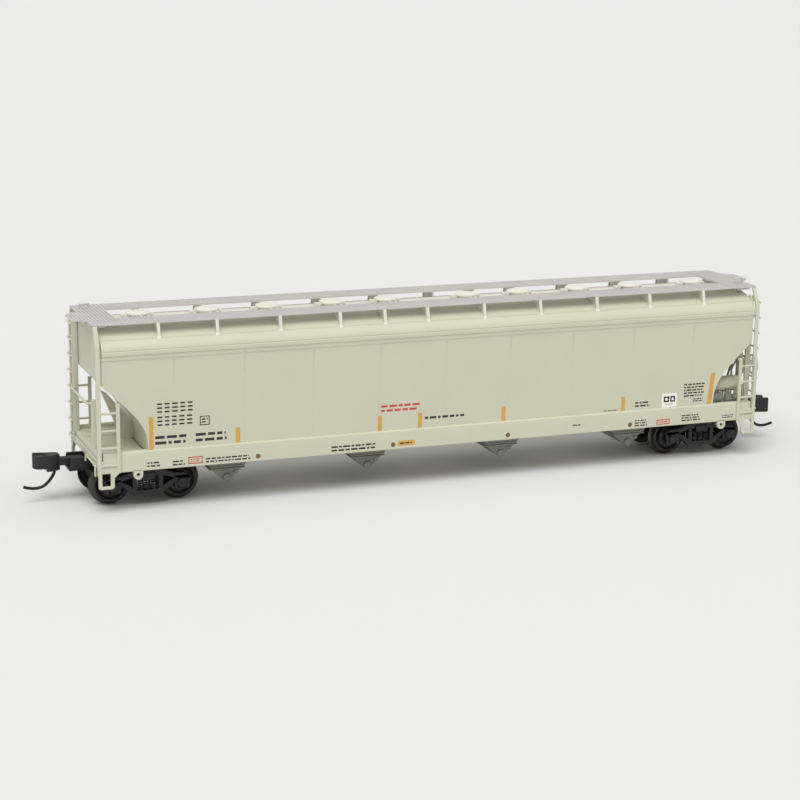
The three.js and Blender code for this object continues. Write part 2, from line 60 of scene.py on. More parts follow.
def add_camera():
    yaw, pitch, roll = (math.radians(a) for a in CAMERA_TURN)
    ahead = Vector((math.sin(yaw) * math.cos(pitch), math.cos(yaw) * math.cos(pitch), -math.sin(pitch)))
    right = Vector((math.cos(yaw), -math.sin(yaw), 0))
    up = right.cross(ahead)
    turned_right = right * math.cos(roll) + up * math.sin(roll)
    turned_up = up * math.cos(roll) - right * math.sin(roll)
    data = bpy.data.cameras.new("camera")
    data.sensor_width = 36
    data.lens = LENS
    data.clip_start = 0.01
    camera = bpy.data.objects.new("camera", data)
    turn = Matrix((turned_right, turned_up, -ahead)).transposed()
    camera.matrix_world = Matrix.Translation(Vector(CAMERA_PLACE) * MM) @ turn.to_4x4()
    scene.collection.objects.link(camera)
    scene.camera = camera


add_camera()


# ---- sizes taken from the frame ----
def node_box(name):
    low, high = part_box(name)
    return low / MM, high / MM


def centre(name):
    low, high = node_box(name)
    return (low + high) / 2


BODY_HIGH = node_box("body_shell")[1]
SILL_Y = BODY_HIGH.y
SHEET_Y = SILL_Y - 0.3
WALL_X = 57.0
ROOF_Z = BODY_HIGH.z
BOARD_HIGH = node_box("running_board_left")[1]
BOARD_TOP = BOARD_HIGH.z
BOARD_END = BOARD_HIGH.x
POST_X = node_box("side_ladder_b_left")[1].x
TRUCK = {"a": centre("truck_pin_a"), "b": centre("truck_pin_b")}
WHEEL_LOW, WHEEL_HIGH = node_box("wheel_b_outer_right")
AXLE_Z = (WHEEL_LOW.z + WHEEL_HIGH.z) / 2
FLANGE_R = (WHEEL_HIGH.z - WHEEL_LOW.z) / 2
TREAD_R = FLANGE_R - 0.55


# ---- materials ----
def linear(r, g, b):
    def one(v):
        v /= 255
        return v / 12.92 if v <= 0.04045 else ((v + 0.055) / 1.055) ** 2.4
    return (one(r), one(g), one(b), 1)


GRAIN_SCALE = 2500
GRAIN_BUMP = 0.15
GRAIN_DEPTH = 0.00002


def finish(name, colour, rough, metal=0.0, vary=0.04, patch=90):
    """A paint or bare surface: slow colour patches, fine roughness grain and a light bump."""
    material = bpy.data.materials.new(name)
    material.use_nodes = True
    nodes, links = material.node_tree.nodes, material.node_tree.links
    shader = nodes["Principled BSDF"]
    shader.inputs["Metallic"].default_value = metal
    place = nodes.new("ShaderNodeTexCoord")
    slow = nodes.new("ShaderNodeTexNoise")
    slow.inputs["Scale"].default_value = patch
    slow.inputs["Detail"].default_value = 5
    fine = nodes.new("ShaderNodeTexNoise")
    fine.inputs["Scale"].default_value = GRAIN_SCALE
    fine.inputs["Detail"].default_value = 3
    for noise in (slow, fine):
        links.new(place.outputs["Object"], noise.inputs["Vector"])
    ramp = nodes.new("ShaderNodeValToRGB")
    ramp.color_ramp.elements[0].position = 0.3
    ramp.color_ramp.elements[1].position = 0.7
    ramp.color_ramp.elements[0].color = [c * (1 - vary) for c in colour[:3]] + [1]
    ramp.color_ramp.elements[1].color = [min(1, c * (1 + vary)) for c in colour[:3]] + [1]
    links.new(slow.outputs["Fac"], ramp.inputs["Fac"])
    links.new(ramp.outputs["Color"], shader.inputs["Base Color"])
    spread = nodes.new("ShaderNodeMapRange")
    spread.inputs["To Min"].default_value = rough - 0.06
    spread.inputs["To Max"].default_value = rough + 0.08
    links.new(fine.outputs["Fac"], spread.inputs["Value"])
    links.new(spread.outputs["Result"], shader.inputs["Roughness"])
    relief = nodes.new("ShaderNodeBump")
    relief.inputs["Strength"].default_value = GRAIN_BUMP
    relief.inputs["Distance"].default_value = GRAIN_DEPTH
    links.new(fine.outputs["Fac"], relief.inputs["Height"])
    links.new(relief.outputs["Normal"], shader.inputs["Normal"])
    return material


PAINT = finish("body_paint", linear(199, 199, 177), 0.5, vary=0.025)
# The body paint made lighter: a painted highlight for the roof crown, hatches and board brackets, which are
# the same paint as the sides.
LIT_BODY_PAINT = finish("body_paint_painted_highlight", linear(219, 217, 204), 0.5, vary=0.02)
BOARD = finish("board_grey", linear(197, 194, 190), 0.5, vary=0.05, patch=300)
OUTLET = finish("outlet_grey", linear(132, 134, 122), 0.45, vary=0.08)
BLACK = finish("black_moulding", linear(26, 26, 27), 0.5, vary=0.15, patch=250)
STEEL = finish("blackened_steel", linear(52, 50, 50), 0.32, metal=0.85, vary=0.15, patch=300)
TREAD = finish("worn_tread", linear(84, 81, 78), 0.3, metal=0.9, vary=0.15, patch=300)
DARK_INK = finish("dark_ink", linear(40, 40, 38), 0.55, vary=0.08, patch=600)
YELLOW_INK = finish("yellow_ink", linear(206, 158, 74), 0.5, vary=0.08, patch=600)
RED_INK = finish("red_ink", linear(200, 62, 60), 0.5, vary=0.08, patch=600)
WHITE_INK = finish("white_ink", linear(236, 236, 230), 0.5, vary=0.03, patch=600)
BROWN_INK = finish("brown_ink", linear(120, 86, 52), 0.5, vary=0.1, patch=600)


# ---- mesh code ----
# A shape is (points, faces), in mm.
def combine(*shapes):
    points, faces = [], []
    for shape_points, shape_faces in shapes:
        base = len(points)
        points.extend(Vector(p) for p in shape_points)
        faces.extend([i + base for i in face] for face in shape_faces)
    return points, faces


def block(low, high):
    points = [(x, y, z) for z in (low[2], high[2]) for y in (low[1], high[1]) for x in (low[0], high[0])]
    return points, [[0, 2, 3, 1], [4, 5, 7, 6], [0, 1, 5, 4], [2, 6, 7, 3], [0, 4, 6, 2], [1, 3, 7, 5]]


def loft(rings, closed_ends=True, cyclic=False):
    """Skin over rings of the same number of points."""
    count = len(rings[0])
    points = [p for ring in rings for p in ring]
    faces = []
    spans = len(rings) if cyclic else len(rings) - 1
    for k in range(spans):
        a, b = k * count, ((k + 1) % len(rings)) * count
        for i in range(count):
            j = (i + 1) % count
            faces.append([a + i, a + j, b + j, b + i])
    if closed_ends and not cyclic:
        faces.append(list(range(count))[::-1])
        faces.append([(len(rings) - 1) * count + i for i in range(count)])
    return points, faces


def prism(outline, axis, low, high):
    """An outline of two coordinates, in axis order, swept along the third."""
    def place(u, v, w):
        return {"x": (w, u, v), "y": (u, w, v), "z": (u, v, w)}[axis]
    return loft([[place(u, v, w) for u, v in outline] for w in (low, high)])


def tube(path, radius, sides=10, closed=False):
    """A round bar along a path, with the same twist all the way."""
    path = [Vector(p) for p in path]
    count = len(path)
    rings = []
    side = None
    for i, point in enumerate(path):
        if closed:
            ahead = (path[(i + 1) % count] - path[i - 1]).normalized()
        else:
            ahead = (path[min(i + 1, count - 1)] - path[max(i - 1, 0)]).normalized()
        if side is None:
            side = ahead.orthogonal()
        side = (side - ahead * side.dot(ahead)).normalized()
        other = ahead.cross(side)
        rings.append([point + (side * math.cos(t) + other * math.sin(t)) * radius
                      for t in (2 * math.pi * k / sides for k in range(sides))])
    return loft(rings, cyclic=closed)


def lathe(profile, origin, axis, sides=32):
    """Profile points are (radius, distance along axis). Where it starts and ends on the axis, caps close
    it."""
    along = Vector(axis).normalized()
    side = along.orthogonal().normalized()
    other = along.cross(side)
    rings = []
    for radius, distance in profile:
        middle = Vector(origin) + along * distance
        rings.append([middle + (side * math.cos(t) + other * math.sin(t)) * radius
                      for t in (2 * math.pi * k / sides for k in range(sides))])
    return loft(rings, closed_ends=True)


def arc(cx, cy, rx, ry, start, end, steps):
    """Points on an ellipse, angles in degrees."""
    found = []
    for i in range(steps + 1):
        t = math.radians(start + (end - start) * i / steps)
        found.append((cx + rx * math.cos(t), cy + ry * math.sin(t)))
    return found


def rounded(x0, x1, y0, y1, r, steps=4):
    """Outline of a rectangle with round corners."""
    return (arc(x1 - r, y0 + r, r, r, -90, 0, steps) + arc(x1 - r, y1 - r, r, r, 0, 90, steps)
            + arc(x0 + r, y1 - r, r, r, 90, 180, steps) + arc(x0 + r, y0 + r, r, r, 180, 270, steps))


def half_turn(shape):
    points, faces = shape
    return [Vector((-p[0], -p[1], p[2])) for p in points], faces


def mirror_y(shape):
    points, faces = shape
    return [Vector((p[0], -p[1], p[2])) for p in points], [face[::-1] for face in faces]


def at_end(end, shape):
    return shape if end == "b" else half_turn(shape)


def piece(name, shape, material, body="car", stands_for=(), bevel=0.0, smooth=40, extra=()):
    """Makes a Blender object of a shape, and ties it to the frame. extra holds (shape, material) pairs."""
    mesh = bpy.data.meshes.new(name)
    shapes = [(shape, material), *extra]
    points, faces = combine(*(s for s, _ in shapes))
    mesh.from_pydata([p * MM for p in points], [], faces)
    start = 0
    for index, (part, paint) in enumerate(shapes):
        mesh.materials.append(paint)
        for polygon in mesh.polygons[start:start + len(part[1])]:
            polygon.material_index = index
        start += len(part[1])
    work = bmesh.new()
    work.from_mesh(mesh)
    bmesh.ops.remove_doubles(work, verts=work.verts, dist=1e-8)
    bmesh.ops.recalc_face_normals(work, faces=work.faces)
    for face in work.faces:
        face.smooth = True
    work.to_mesh(mesh)
    work.free()
    mesh.set_sharp_from_angle(angle=math.radians(smooth))
    made = bpy.data.objects.new(name, mesh)
    scene.collection.objects.link(made)
    if bevel:
        soften(made, bevel)
    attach(made, body)
    if stands_for:
        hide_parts(*stands_for)
    return made


def soften(made, width):
    """Rounds the sharp edges a little, as moulded plastic has them."""
    modifier = made.modifiers.new("soft_edges", "BEVEL")
    modifier.width = width * MM
    modifier.segments = 2
    modifier.limit_method = "ANGLE"
    modifier.angle_limit = math.radians(35)
    modifier.harden_normals = True


# ---- car body ----
SHOULDER = (3, 28.7)  # half width and height where the curved shoulder meets the crown
SEAM_X = [11.4 * i for i in range(-4, 5)]
SEAM_HALF = 0.07
SEAM_DEPTH = 0.02


def end_curve(steps):
    """The end sheet's line from the end wall down to the sill: (x, z) points, top first."""
    a, b, c, d = (Vector(p) for p in ((57, 20.3), (52.4, 15.8), (49.9, 14.2), (49.9, 10)))
    found = []
    for i in range(steps + 1):
        t = i / steps
        found.append(a * (1 - t) ** 3 + b * 3 * t * (1 - t) ** 2 + c * 3 * t * t * (1 - t) + d * t ** 3)
    return found


def body_levels():
    """The body as a stack of rectangles: (half length, half width, height), bottom first."""
    low = [(49.9, SHEET_Y - 0.3, 8.05), (49.9, SHEET_Y, 9.0)]
    low += [(p.x, SHEET_Y, p.y) for p in reversed(end_curve(22))]
    chord = [
        (SHEET_Y, 24.2), (SHEET_Y + 0.12, 24.4), (SHEET_Y + 0.12, 24.95), (SILL_Y - 0.02, 25.1),
        (SILL_Y - 0.02, 25.6), (SILL_Y - 0.14, 25.72),
    ]
    lap = 27.3
    shoulder = []
    for y, z in arc(SHOULDER[0], 25.7, SILL_Y - 0.14 - SHOULDER[0], SHOULDER[1] - 25.7, 2, 90, 26):
        if z < lap:
            shoulder.append((y + 0.07, z))
        else:
            if shoulder[-1][1] < lap:
                shoulder += [(y + 0.1, z - 0.05), (y + 0.1, z - 0.03), (y - 0.06, z), (y - 0.02, z + 0.06)]
            shoulder.append((y, z))
    crown = [(SHOULDER[0] * (1 - i / 4), SHOULDER[1] + (ROOF_Z - SHOULDER[1]) * i / 4) for i in range(1, 4)]
    return low + [(WALL_X, y, z) for y, z in chord + shoulder + crown]


def car_body():
    stations = []
    for x in SEAM_X:
        stations += [(x - 4 * SEAM_HALF, 0), (x - SEAM_HALF, 0), (x, SEAM_DEPTH), (x + SEAM_HALF, 0),
                     (x + 4 * SEAM_HALF, 0)]
    rings = []
    for half_length, half_width, z in body_levels():
        welded = 9.9 < z < 25.0
        row = [(-half_length, 0), *stations, (half_length, 0)]
        near = [(x, -half_width + (inset if welded else 0), z) for x, inset in row]
        far = [(x, half_width - (inset if welded else 0), z) for x, inset in reversed(row)]
        rings.append(near + far)
    top = [(x, 0, ROOF_Z - 0.01) for x, _ in row]
    rings.append(top + top[::-1])
    return loft(rings, closed_ends=False)


def sill(side):
    top = 9.8
    section = [(SHEET_Y - 0.65, 6.6), (SILL_Y - 0.08, 6.6), (SILL_Y, 6.68)]
    section += arc(SILL_Y - 0.32, top - 0.32, 0.32, 0.32, 0, 90, 6)
    section += [(SHEET_Y - 0.65, top)]
    shape = prism([(side * y, z) for y, z in section], "x", -57.1, 57.1)
    lugs = []
    for x in (-51.6, 51.6):
        outline = arc(x, 6.0, 0.75, 0.75, 180, 360, 10) + [(x + 0.75, 6.75), (x - 0.75, 6.75)]
        hole = arc(x, 6.02, 0.3, 0.3, 180, 540, 16)
        lugs.append(holed_plate(outline, hole, side * (SILL_Y - 0.6), side * SILL_Y))
    return combine(shape, *lugs)


def holed_plate(outline, hole, y0, y1):
    """A plate in X and Z with one hole: outline and hole are walked by the same angle about the hole."""
    cx = sum(p[0] for p in hole[:-1]) / (len(hole) - 1)
    cz = sum(p[1] for p in hole[:-1]) / (len(hole) - 1)
    steps = 24
    rings = []
    for y, grow in ((y0, "in"), (y0, "out"), (y1, "out"), (y1, "in")):
        ring = []
        for k in range(steps):
            t = 2 * math.pi * k / steps
            direction = Vector((math.cos(t), math.sin(t)))
            if grow == "in":
                u, v = cx + 0.3 * direction.x, cz + 0.3 * direction.y
            else:
                reach = ray_to(outline, (cx, cz), direction)
                u, v = cx + reach * direction.x, cz + reach * direction.y
            ring.append((u, y, v))
        rings.append(ring)
    return loft(rings, closed_ends=False, cyclic=True)


def ray_to(outline, start, direction):
    """How far the outline is from a point inside it, along a direction."""
    best = None
    for i, p in enumerate(outline):
        q = outline[(i + 1) % len(outline)]
        ex, ez = q[0] - p[0], q[1] - p[1]
        cross = direction.x * ez - direction.y * ex
        if abs(cross) < 1e-12:
            continue
        px, pz = p[0] - start[0], p[1] - start[1]
        reach = (px * ez - pz * ex) / cross
        along = (px * direction.y - pz * direction.x) / cross
        if reach > 0 and -1e-9 <= along <= 1 + 1e-9:
            best = reach if best is None else min(best, reach)
    return best


SHELL = piece("car_body", car_body(), PAINT, stands_for=["body_shell"], bevel=0.1,
              smooth=30)
# The crown above the shoulder takes the lighter copy of the body paint: a painted highlight where the roof
# faces the light.
SHELL.data.materials.append(LIT_BODY_PAINT)
for polygon in SHELL.data.polygons:
    if polygon.center.z > (SHOULDER[1] - 0.05) * MM:
        polygon.material_index = 1
piece("side_sill_left", sill(1), PAINT, smooth=35)
piece("side_sill_right", sill(-1), PAINT, smooth=35)


# ---- roof ----
def inside(outline, x, y):
    """Whether a point is inside an outline."""
    found = False
    for i, (x0, y0) in enumerate(outline):
        x1, y1 = outline[i - 1]
        if (y0 > y) != (y1 > y) and x < (x1 - x0) * (y - y0) / (y1 - y0) + x0:
            found = not found
    return found


def grating(outline, top, thick, cell, bar):
    """A perforated walkway panel: a plate of square cells, each with a square hole, on both faces."""
    xs = [p[0] for p in outline]
    ys = [p[1] for p in outline]
    columns = max(1, round((max(xs) - min(xs)) / cell))
    rows = max(1, round((max(ys) - min(ys)) / cell))
    dx, dy = (max(xs) - min(xs)) / columns, (max(ys) - min(ys)) / rows
    points, faces, index = [], [], {}

    def corner(i, j, z):
        key = (i, j, z)
        if key not in index:
            index[key] = len(points)
            points.append((min(xs) + i * dx, min(ys) + j * dy, z))
        return index[key]

    kept = {(i, j) for i in range(columns) for j in range(rows)
            if inside(outline, min(xs) + (i + 0.5) * dx, min(ys) + (j + 0.5) * dy)}
    for i, j in sorted(kept):
        x0, y0 = min(xs) + i * dx + bar / 2, min(ys) + j * dy + bar / 2
        x1, y1 = x0 + dx - bar, y0 + dy - bar
        hole = {}
        for z in (top, top - thick):
            hole[z] = len(points)
            points.extend([(x0, y0, z), (x1, y0, z), (x1, y1, z), (x0, y1, z)])
            rim = [corner(i, j, z), corner(i + 1, j, z), corner(i + 1, j + 1, z), corner(i, j + 1, z)]
            for k in range(4):
                n = (k + 1) % 4
                face = [rim[k], rim[n], hole[z] + n, hole[z] + k]
                faces.append(face if z == top else face[::-1])
        for k in range(4):
            n = (k + 1) % 4
            faces.append([hole[top] + k, hole[top] + n, hole[top - thick] + n, hole[top - thick] + k])
        edges = {(0, -1): (0, 1), (1, 0): (1, 2), (0, 1): (2, 3), (-1, 0): (3, 0)}
        offsets = [(0, 0), (1, 0), (1, 1), (0, 1)]
        for (di, dj), (k, n) in edges.items():
            if (i + di, j + dj) in kept:
                continue
            a = [corner(i + offsets[k][0], j + offsets[k][1], z) for z in (top, top - thick)]
            b = [corner(i + offsets[n][0], j + offsets[n][1], z) for z in (top, top - thick)]
            faces.append([a[0], a[1], b[1], b[0]])
    return points, faces


def roof_height(y):
    if y <= SHOULDER[0]:
        return ROOF_Z + (SHOULDER[1] - ROOF_Z) * y / SHOULDER[0]
    across = (y - SHOULDER[0]) / (SILL_Y - 0.14 - SHOULDER[0])
    return 25.7 + (SHOULDER[1] - 25.7) * math.sqrt(max(0, 1 - across ** 2))


BRACKETS = [-47.7, -37.4, -27.5, -17.1, -7, 3, 10.4, 18, 28, 38.3, 47.7]
BOARD_Y = (3.9, 8.2)
BOARD_THICK = 0.3
DECK_SINK = 0.03


def running_board():
    y0, y1 = BOARD_Y
    end, inset = BOARD_END - 0.05, 0.15
    deck = grating([(-end, y0 + inset), (end, y0 + inset), (end, y1 - inset), (-end, y1 - inset)],
                   BOARD_TOP - DECK_SINK, BOARD_THICK - 2 * DECK_SINK, 0.56, 0.24)
    rims = [block((-BOARD_END, y, BOARD_TOP - BOARD_THICK), (BOARD_END, y + 0.2, BOARD_TOP))
            for y in (y0, y1 - 0.2)]
    return combine(deck, *rims)


def board_brackets():
    """Webs that follow the roof, each with a strap down its outer edge and a bolt at its foot."""
    brackets = []
    for x in BRACKETS:
        under = BOARD_TOP - 0.28
        web = [(y, roof_height(y) + 0.02) for y in (4.4, 5.4, 6.4, 7.4, 8.2, 8.55)]
        brackets.append(prism(web + [(8.25, under), (4.4, under)], "x", x - 0.1, x + 0.1))
        foot = roof_height(8.6)
        strap = [(8.02, under), (8.25, under), (8.72, foot + 0.5), (8.78, foot - 0.12), (8.5, foot + 0.02)]
        brackets.append(prism(strap, "x", x - 0.24, x + 0.24))
        brackets.append(lathe([(0.01, -0.1), (0.36, -0.1), (0.36, 0.16), (0.28, 0.24), (0.01, 0.26)],
                              (x, 8.68, foot - 0.12), (0, 0.8, 0.6), 12))
    return combine(*brackets)


def crossover():
    y1 = BOARD_Y[1]
    start = BOARD_END + 0.04
    outline = [(start, -y1), (58, -y1), (58, -3), (60.2, -1.2), (60.2, 3), (58, 4.7), (58, y1), (start, y1)]
    inset = [(start + 0.1, 0.1 - y1), (57.9, 0.1 - y1), (57.9, -2.95), (60.1, -1.15), (60.1, 2.95),
             (57.9, 4.65), (57.9, y1 - 0.1), (start + 0.1, y1 - 0.1)]
    deck = grating(inset, BOARD_TOP - DECK_SINK, BOARD_THICK - 2 * DECK_SINK, 0.55, 0.22)
    low, high = BOARD_TOP - BOARD_THICK, BOARD_TOP
    inner = [(start + 0.25, 0.25 - y1), (57.75, 0.25 - y1), (57.75, -2.87), (59.95, -1.07), (59.95, 2.87),
             (57.75, 4.57), (57.75, y1 - 0.25), (start + 0.25, y1 - 0.25)]
    rim = loft([[(*a, low), (*a, high), (*b, high), (*b, low)] for a, b in zip(outline, inner)],
               closed_ends=False, cyclic=True)
    stays = [block((55.4, y - 0.2, 28.9), (57.9, y + 0.2, BOARD_TOP - 0.25)) for y in (-6.2, -2, 2, 6.2)]
    grab = tube([(55.6, -4.8, BOARD_TOP - 0.2), (55.6, -4.8, BOARD_TOP + 0.6),
                 (55.75, -4.8, BOARD_TOP + 0.78), (57.15, -4.8, BOARD_TOP + 0.78),
                 (57.3, -4.8, BOARD_TOP + 0.6), (57.3, -4.8, BOARD_TOP - 0.2)], 0.16)
    return combine(deck, rim, *stays, grab)


def hatch(x):
    base = ROOF_Z - 0.02
    lid = lathe([(0.01, 0.1), (1.4, 0), (1.4, 0.54), (1.82, 0.57), (1.95, 0.62), (1.97, 0.68), (1.95, 0.83),
                 (1.86, 0.92), (1.5, 1.0), (1.42, 0.95), (1.1, 0.98), (1.02, 1.03), (0.5, 1.05),
                 (0.01, 1.06)],
                (x, 0, base), (0, 0, 1), 48)
    neck = lathe([(0.01, 0), (1.4, 0), (1.4, 0.5), (0.01, 0.5)], (x, 0, ROOF_Z - 0.2), (0, 0, 1), 32)
    hinge = prism(rounded(x - 2.85, x - 1.6, -0.5, 0.5, 0.15), "z", base + 0.3, base + 0.66)
    hinge_foot = block((x - 2.8, -0.42, base - 0.06), (x - 2.3, 0.42, base + 0.4))
    pin = tube([(x - 2.62, -0.62, base + 0.55), (x - 2.62, 0.62, base + 0.55)], 0.12)
    latch = prism(rounded(x + 1.7, x + 2.55, -0.28, 0.28, 0.12), "z", base + 0.34, base + 0.58)
    latch_foot = block((x + 2.15, -0.2, base - 0.06), (x + 2.45, 0.2, base + 0.4))
    ears = []
    for side in (-1, 1):
        low, high = sorted((side * 1.7, side * 2.3))
        ears.append(prism(rounded(x - 0.22, x + 0.22, low, high, 0.1), "z", base - 0.2, base + 0.6))
    return combine(lid, neck, hinge, hinge_foot, pin, latch, latch_foot, *ears)


piece("running_board_far", running_board(), BOARD, stands_for=["running_board_left"])
piece("running_board_near", half_turn(running_board()), BOARD,
      stands_for=["running_board_right"])
# The brackets take the lighter copy of the body paint: a painted highlight.
piece("board_brackets_far", board_brackets(), LIT_BODY_PAINT)
piece("board_brackets_near", half_turn(board_brackets()), LIT_BODY_PAINT)
# The hatches take the lighter copy of the body paint: a painted highlight.
for number in range(1, 11):
    piece(f"roof_hatch_{number}", hatch(centre(f"hatch_cover_{number}").x + 0.15), LIT_BODY_PAINT,
          stands_for=[f"hatch_cover_{number}"], smooth=35)


# ---- ladders, posts, steps ----
DECK_TOP = 9.3
DECK_HALF = 8.85


def end_ladder():
    """Inner stile and rungs: the corner post is the outer stile."""
    inner, outer, rung_x = -7.15, -9.8, 58.27
    parts = [
        prism(rounded(57.1, 58.08, inner - 0.45, inner, 0.08), "z", DECK_TOP, 27.95),
        block((57.95, inner - 0.45, 7.45), (58.08, inner, DECK_TOP + 0.05)),
    ]
    for i in range(8):
        z = 8.45 + 2.67 * i
        parts.append(tube([(58.05, outer, z), (rung_x - 0.03, outer, z), (rung_x, outer + 0.12, z),
                           (rung_x, inner - 0.32, z), (rung_x - 0.03, inner - 0.2, z),
                           (58.05, inner - 0.2, z)], 0.17))
        parts.append(lathe([(0.01, 0), (0.18, 0), (0.18, 0.14), (0.12, 0.2), (0.01, 0.21)],
                           (58.06, inner - 0.22, z + 0.55), (1, 0, 0), 8))
    return combine(*parts)


def side_ladder():
    """Drawn for the +Y side: leaning corner post, two stiles, rungs, and the stirrup under the sill."""
    outer = SILL_Y
    post = prism([(outer - 0.3, 6.2), (outer, 6.2), (outer, 26.3), (9.75, 26.9), (8.5, BOARD_TOP - 0.33),
                  (8.0, BOARD_TOP - 0.33), (9.45, 26.6), (outer - 0.3, 26.0)], "x", 57.3, POST_X)
    flange = prism([(9.2, 6.25), (outer - 0.1, 6.25), (outer - 0.1, 26.2), (8.35, BOARD_TOP - 0.33),
                    (7.9, BOARD_TOP - 0.33), (9.2, 26.4)], "x", 57.72, POST_X - 0.04)
    lacing = prism([(9.3, 24.5), (9.45, 24.5), (9.45, 25.8), (8.3, 28.2), (7.6, 28.3), (9.3, 25.4)], "x",
                   57.0, 57.35)
    inner_stile = prism(rounded(54.42, 55.0, outer, outer + 0.33, 0.08), "z", 6.6, 17.6)
    outer_stile = prism(rounded(57.4, POST_X - 0.02, outer - 0.1, outer + 0.33, 0.08), "z", 6.6, 17.6)
    top = block((54.42, outer - 0.28, 17.2), (55.0, outer + 0.05, 17.6))
    rungs = [tube([(54.6, outer + 0.16, 7.9 + 2.76 * i), (57.7, outer + 0.16, 7.9 + 2.76 * i)], 0.19)
             for i in range(4)]
    foot = block((54.45, outer + 0.02, 6.62), (57.9, outer + 0.24, 7.1))
    kick = block((54.9, outer - 0.05, 7.0), (57.5, outer + 0.1, 8.6))
    loop = []
    low, high, left, right = 4.12, 7.4, 55.42, POST_X - 0.05
    ring_out = rounded(left, right, low, high, 0.45, 5)
    ring_in = rounded(left + 0.6, right - 0.6, low + 0.5, high - 0.5, 0.15, 5)
    for y in (outer + 0.02, outer + 0.29):
        loop.append([(x, y, z) for x, z in ring_out])
        loop.append([(x, y, z) for x, z in ring_in])
    stirrup = loft([loop[0], loop[2], loop[3], loop[1]], closed_ends=False, cyclic=True)
    gusset = prism([(54.6, 6.65), (55.6, 6.65), (55.6, 5.7)], "y", outer + 0.02, outer + 0.3)
    tread = block((left + 0.15, outer - 0.48, low), (right - 0.15, outer + 0.1, low + 0.22))
    return combine(post, flange, lacing, inner_stile, outer_stile, top, *rungs, foot, kick, stirrup, gusset,
                   tread)


for end in ("a", "b"):
    piece(f"crossover_walk_{end}", at_end(end, crossover()), BOARD,
          stands_for=[f"crossover_{end}"])
    piece(f"end_ladder_rungs_{end}", at_end(end, end_ladder()), PAINT,
          stands_for=[f"end_ladder_{end}"], bevel=0.04)
    piece(f"corner_ladder_{end}_left", at_end(end, side_ladder()), PAINT,
          stands_for=[f"side_ladder_{end}_left"], bevel=0.06)
    piece(f"corner_ladder_{end}_right", at_end(end, mirror_y(side_ladder())), PAINT,
          stands_for=[f"side_ladder_{end}_right"], bevel=0.06)


# ---- underframe ends ----


def underframe():
    bolster_x = TRUCK["b"].x
    parts = [
        block((45, -DECK_HALF, 7.4), (57.9, DECK_HALF, 7.98)),
        block((50.2, -DECK_HALF, 7.9), (57.3, DECK_HALF, DECK_TOP)),
        block((57.2, -9.0, 7.4), (57.95, 9.0, 8.55)),
        block((57.3, -9.0, 8.7), (57.75, 9.0, DECK_TOP + 0.12)),
        block((57.2, -8.9, 8.5), (57.6, 8.9, 8.75)),
        block((bolster_x - 1.5, -7.6, 6.3), (bolster_x + 1.5, 7.6, 7.5)),
        block((bolster_x + 1.6, -1.7, 6.6), (55.1, 1.7, 7.5)),
        prism([(50.3, 9.2), (51.8, 9.2), (55.2, 17.6), (54.2, 17), (51, 13.2), (50.3, 12)], "y", -0.4, 0.4),
    ]
    for y in (-6.4, -3.2, 3.2, 6.4):
        parts.append(block((52.2, y - 0.16, DECK_TOP - 0.1), (57, y + 0.16, DECK_TOP + 0.16)))
    return combine(*parts)


def end_rails():
    """The grab iron across the end with its upright, and the uncoupling rod under the end sill."""
    rail_x = 58.35
    rail = tube([(57.6, -6.9, 16.7), (rail_x, -6.75, 16.7), (rail_x, -6.4, 16.7), (rail_x, 4.2, 16.7),
                 (rail_x, 4.6, 16.7), (57.6, 4.75, 16.7)], 0.2)
    upright = prism(rounded(57.1, 57.7, 4.4, 5.3, 0.1), "z", 8.9, 17.3)
    rod = tube([(58.25, 9.2, 7.9), (58.25, 2.6, 7.9), (58.25, 2.3, 7.7), (58.25, 2.3, 6.9)], 0.15)
    handle = tube([(58.25, 9.2, 7.9), (58.25, 9.35, 7.8), (58.25, 9.35, 6.2)], 0.15)
    eyes = [block((57.8, y - 0.22, 7.65), (58.4, y + 0.22, 8.1)) for y in (3.0, 8.4)]
    return combine(rail, upright, rod, handle, *eyes)


for end in ("a", "b"):
    piece(f"end_platform_{end}", at_end(end, underframe()), PAINT,
          stands_for=[f"underframe_{end}"], bevel=0.05)
    piece(f"end_rails_{end}", at_end(end, end_rails()), PAINT)


# ---- hopper floor and outlets ----
def frustum(x, top, bottom):
    rings = []
    for half_x, half_y, z in (bottom, top):
        rings.append([(x - half_x, -half_y, z), (x + half_x, -half_y, z), (x + half_x, half_y, z),
                      (x - half_x, half_y, z)])
    return loft(rings)


OUTLETS = [centre(f"outlet_gate_{i}").x for i in range(1, 5)]


def hopper_floor():
    half_x, half_y = 49.1, SHEET_Y - 0.8
    parts = [block((-half_x, -half_y, 8.0), (half_x, half_y, 8.7))]
    for x in OUTLETS:
        parts.append(frustum(x, (6.5, 8.4, 8.1), (4.2, 6.0, 6.7)))
    parts.append(block((-49, -1.3, 7.0), (49, 1.3, 8.05)))
    return combine(*parts)


piece("hopper_belly", hopper_floor(), PAINT, stands_for=["hopper_floor"])


